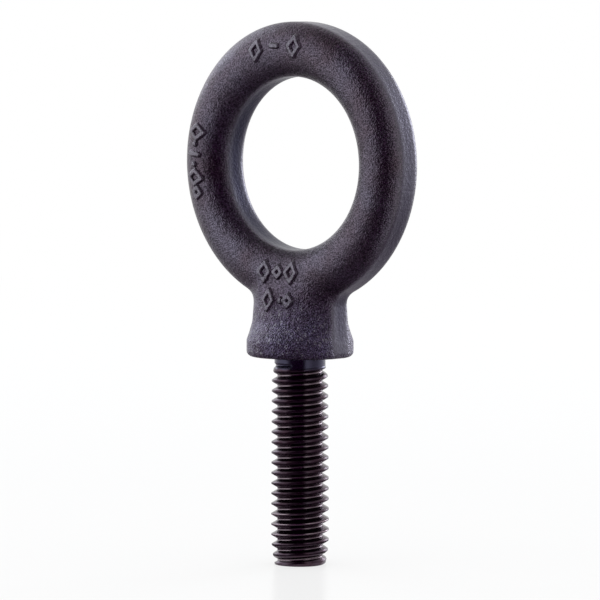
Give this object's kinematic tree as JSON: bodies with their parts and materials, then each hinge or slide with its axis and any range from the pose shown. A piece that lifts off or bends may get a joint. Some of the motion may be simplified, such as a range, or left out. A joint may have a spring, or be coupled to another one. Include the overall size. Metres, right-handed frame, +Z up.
{
  "type": "shoulder eye bolt",
  "caption": "Forged steel shoulder eye bolt: a round eye on a flared shoulder, with a coarse threaded shank below it.",
  "frame": {"origin": "centre of the shoulder's flat seating face, on the shank's axis", "axes": "+Z up the shank's axis towards the eye, +Y along the eye's hole, +X across the eye"},
  "size_m": [0.0386, 0.014, 0.0743],
  "materials": {
    "forged_steel": "matte"
  },
  "bodies": {
    "root": {"eye_bolt": "forged_steel"}
  },
  "joints": []
}
